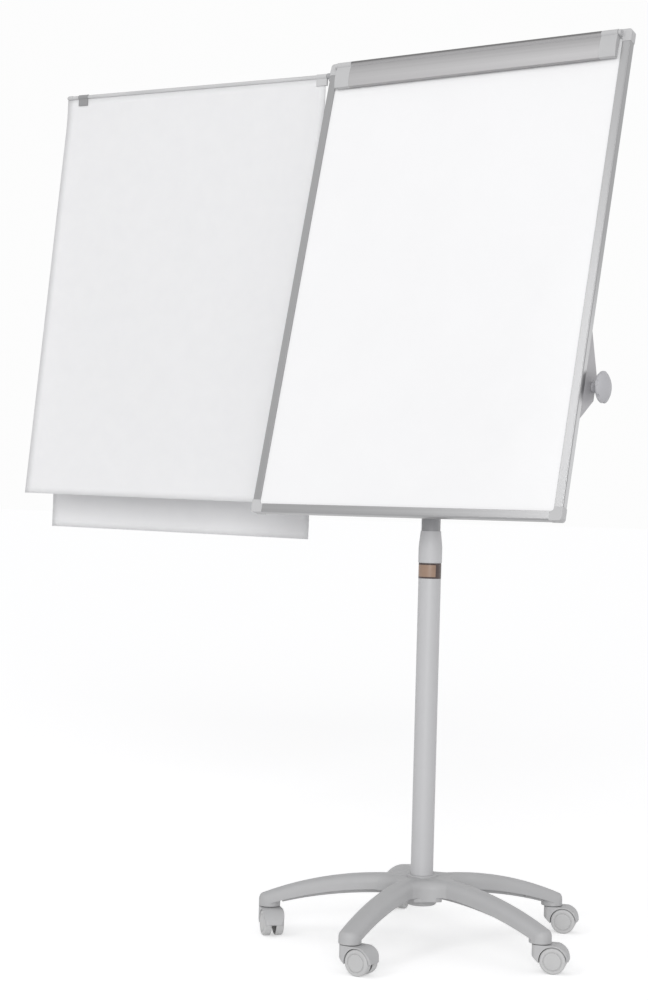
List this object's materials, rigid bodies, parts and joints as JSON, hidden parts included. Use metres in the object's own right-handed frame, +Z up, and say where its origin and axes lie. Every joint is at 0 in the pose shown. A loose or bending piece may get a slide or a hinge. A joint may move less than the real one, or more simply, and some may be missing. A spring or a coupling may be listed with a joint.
{
  "type": "mobile flipchart easel",
  "caption": "Framed magnetic writing board on a tilting head and telescopic column, with a castor star base, a hinged paper clamp and a swing-out paper arm.",
  "frame": {"origin": "on the floor, on the axis of the column", "axes": "+X to the board's right as its reader sees it, -Y to the front, +Z up"},
  "size_m": [1.4714, 0.6275, 1.8149],
  "materials": {
    "base_nylon": "moulded, fine texture",
    "steel_zinc": "zinc plated",
    "tube_paint": "powder coated, light grey",
    "tube_silver": "satin",
    "collar_plastic": "moulded",
    "guide_plastic": "moulded",
    "cast_metal": "painted casting",
    "knob_plastic": "moulded",
    "rail_aluminium": "anodised extrusion",
    "corner_plastic": "moulded",
    "board_white": "gloss white lacquer",
    "board_back": "honeycomb core with a grey foil back",
    "clamp_aluminium": "brushed and anodised extrusion",
    "cap_plastic": "moulded",
    "grip_rubber": "magnetic rubber strip",
    "arm_metal": "satin",
    "clip_plastic": "moulded",
    "paper": "uncoated",
    "castor_plastic": "moulded nylon",
    "wheel_plastic": "moulded nylon"
  },
  "bodies": {
    "base": {"base_star": "base_nylon", "column_bolt": "steel_zinc", "lower_tube": "tube_paint", "guide_bush": "guide_plastic"},
    "collar": {"lock_collar": "collar_plastic"},
    "mast": {"upper_tube": "tube_silver", "upper_glide": "guide_plastic", "tee_head": "cast_metal", "cross_tube": "tube_paint", "cross_tube_plugs": "guide_plastic"},
    "knob_left": {"tilt_knob_left": "knob_plastic", "tilt_stud_left": "steel_zinc"},
    "knob_right": {"tilt_knob_right": "knob_plastic", "tilt_stud_right": "steel_zinc"},
    "board": {"side_plate_left": "tube_paint", "side_plate_right": "tube_paint", "top_rail": "rail_aluminium", "bottom_rail": "rail_aluminium", "left_rail": "rail_aluminium", "right_rail": "rail_aluminium", "corner_top_left": "corner_plastic", "corner_top_right": "corner_plastic", "corner_bottom_left": "corner_plastic", "corner_bottom_right": "corner_plastic", "writing_surface": "board_white", "board_core": "board_back", "clamp_lugs": "corner_plastic", "clamp_pins": "steel_zinc", "arm_bracket": "cast_metal", "arm_pin": "steel_zinc"},
    "clamp": {"clamp_bar": "clamp_aluminium", "clamp_cap_left": "cap_plastic", "clamp_cap_right": "cap_plastic", "clamp_grip": "grip_rubber"},
    "arm": {"arm_knuckle": "cast_metal", "arm_rod": "arm_metal", "paper_front": "paper", "paper_rear": "paper"},
    "outer_clip": {"clip_outer": "clip_plastic"},
    "inner_clip": {"clip_inner": "clip_plastic"},
    "front_castor": {"castor_front_hood": "castor_plastic", "castor_front_pins": "steel_zinc"},
    "front_wheel_a": {"castor_front_wheel_a": "wheel_plastic"},
    "front_wheel_b": {"castor_front_wheel_b": "wheel_plastic"},
    "right_castor": {"castor_right_hood": "castor_plastic", "castor_right_pins": "steel_zinc"},
    "right_wheel_a": {"castor_right_wheel_a": "wheel_plastic"},
    "right_wheel_b": {"castor_right_wheel_b": "wheel_plastic"},
    "rear_right_castor": {"castor_rear_right_hood": "castor_plastic", "castor_rear_right_pins": "steel_zinc"},
    "rear_right_wheel_a": {"castor_rear_right_wheel_a": "wheel_plastic"},
    "rear_right_wheel_b": {"castor_rear_right_wheel_b": "wheel_plastic"},
    "rear_left_castor": {"castor_rear_left_hood": "castor_plastic", "castor_rear_left_pins": "steel_zinc"},
    "rear_left_wheel_a": {"castor_rear_left_wheel_a": "wheel_plastic"},
    "rear_left_wheel_b": {"castor_rear_left_wheel_b": "wheel_plastic"},
    "left_castor": {"castor_left_hood": "castor_plastic", "castor_left_pins": "steel_zinc"},
    "left_wheel_a": {"castor_left_wheel_a": "wheel_plastic"},
    "left_wheel_b": {"castor_left_wheel_b": "wheel_plastic"}
  },
  "joints": [
    {"name": "height_slide", "type": "slide", "parent": "base", "child": "mast", "axis": [0, 0, 1], "range_m": [-0.22, 0.2]},
    {"name": "collar_twist", "type": "hinge", "parent": "base", "child": "collar", "pos_m": [0, 0, 0.785], "axis": [0, 0, 1], "range_deg": [0, 60]},
    {"name": "board_tilt", "type": "hinge", "parent": "mast", "child": "board", "pos_m": [0, 0, 1.103], "axis": [-1, 0, 0], "range_deg": [-15, 60]},
    {"name": "knob_left_turn", "type": "hinge", "parent": "mast", "child": "knob_left", "pos_m": [-0.36, 0, 1.103], "axis": [-1, 0, 0], "range_deg": [0, 360]},
    {"name": "knob_right_turn", "type": "hinge", "parent": "mast", "child": "knob_right", "pos_m": [0.36, 0, 1.103], "axis": [1, 0, 0], "range_deg": [0, 360]},
    {"name": "clamp_lift", "type": "hinge", "parent": "board", "child": "clamp", "pos_m": [0, 0.11837, 1.80633], "axis": [-1, 0, 0], "range_deg": [0, 95]},
    {"name": "arm_swing", "type": "hinge", "parent": "board", "child": "arm", "pos_m": [-0.361, 0.14992, 1.79581], "axis": [0, -0.2588, -0.9659], "range_deg": [-25, 60]},
    {"name": "clip_outer_slide", "type": "slide", "parent": "arm", "child": "outer_clip", "axis": [-0.9985, -0.0522, 0.014], "range_m": [-0.2, 0.015]},
    {"name": "clip_inner_slide", "type": "slide", "parent": "arm", "child": "inner_clip", "axis": [-0.9985, -0.0522, 0.014], "range_m": [0, 0.2]},
    {"name": "front_swivel", "type": "hinge", "parent": "base", "child": "front_castor", "pos_m": [0.02684, -0.30683, 0.05], "axis": [0, 0, 1], "continuous": true},
    {"name": "front_wheel_a_spin", "type": "hinge", "parent": "front_castor", "child": "front_wheel_a", "pos_m": [0.05284, -0.30683, 0.025], "axis": [0, 1, 0], "continuous": true},
    {"name": "front_wheel_b_spin", "type": "hinge", "parent": "front_castor", "child": "front_wheel_b", "pos_m": [0.05284, -0.30683, 0.025], "axis": [0, 1, 0], "continuous": true},
    {"name": "right_swivel", "type": "hinge", "parent": "base", "child": "right_castor", "pos_m": [0.30011, -0.06928, 0.05], "axis": [0, 0, 1], "continuous": true},
    {"name": "right_wheel_a_spin", "type": "hinge", "parent": "right_castor", "child": "right_wheel_a", "pos_m": [0.32469, -0.06082, 0.025], "axis": [-0.3256, 0.9455, 0], "continuous": true},
    {"name": "right_wheel_b_spin", "type": "hinge", "parent": "right_castor", "child": "right_wheel_b", "pos_m": [0.32469, -0.06082, 0.025], "axis": [-0.3256, 0.9455, 0], "continuous": true},
    {"name": "rear_right_swivel", "type": "hinge", "parent": "base", "child": "rear_right_castor", "pos_m": [0.15863, 0.26401, 0.05], "axis": [0, 0, 1], "continuous": true},
    {"name": "rear_right_wheel_a_spin", "type": "hinge", "parent": "rear_right_castor", "child": "rear_right_wheel_a", "pos_m": [0.18321, 0.27247, 0.025], "axis": [-0.3256, 0.9455, 0], "continuous": true},
    {"name": "rear_right_wheel_b_spin", "type": "hinge", "parent": "rear_right_castor", "child": "rear_right_wheel_b", "pos_m": [0.18321, 0.27247, 0.025], "axis": [-0.3256, 0.9455, 0], "continuous": true},
    {"name": "rear_left_swivel", "type": "hinge", "parent": "base", "child": "rear_left_castor", "pos_m": [-0.20207, 0.23245, 0.05], "axis": [0, 0, 1], "continuous": true},
    {"name": "rear_left_wheel_a_spin", "type": "hinge", "parent": "rear_left_castor", "child": "rear_left_wheel_a", "pos_m": [-0.20658, 0.25806, 0.025], "axis": [-0.9848, -0.1736, 0], "continuous": true},
    {"name": "rear_left_wheel_b_spin", "type": "hinge", "parent": "rear_left_castor", "child": "rear_left_wheel_b", "pos_m": [-0.20658, 0.25806, 0.025], "axis": [-0.9848, -0.1736, 0], "continuous": true},
    {"name": "left_swivel", "type": "hinge", "parent": "base", "child": "left_castor", "pos_m": [-0.28352, -0.12034, 0.05], "axis": [0, 0, 1], "continuous": true},
    {"name": "left_wheel_a_spin", "type": "hinge", "parent": "left_castor", "child": "left_wheel_a", "pos_m": [-0.2645, -0.13808, 0.025], "axis": [0.682, 0.7314, 0], "continuous": true},
    {"name": "left_wheel_b_spin", "type": "hinge", "parent": "left_castor", "child": "left_wheel_b", "pos_m": [-0.2645, -0.13808, 0.025], "axis": [0.682, 0.7314, 0], "continuous": true}
  ]
}
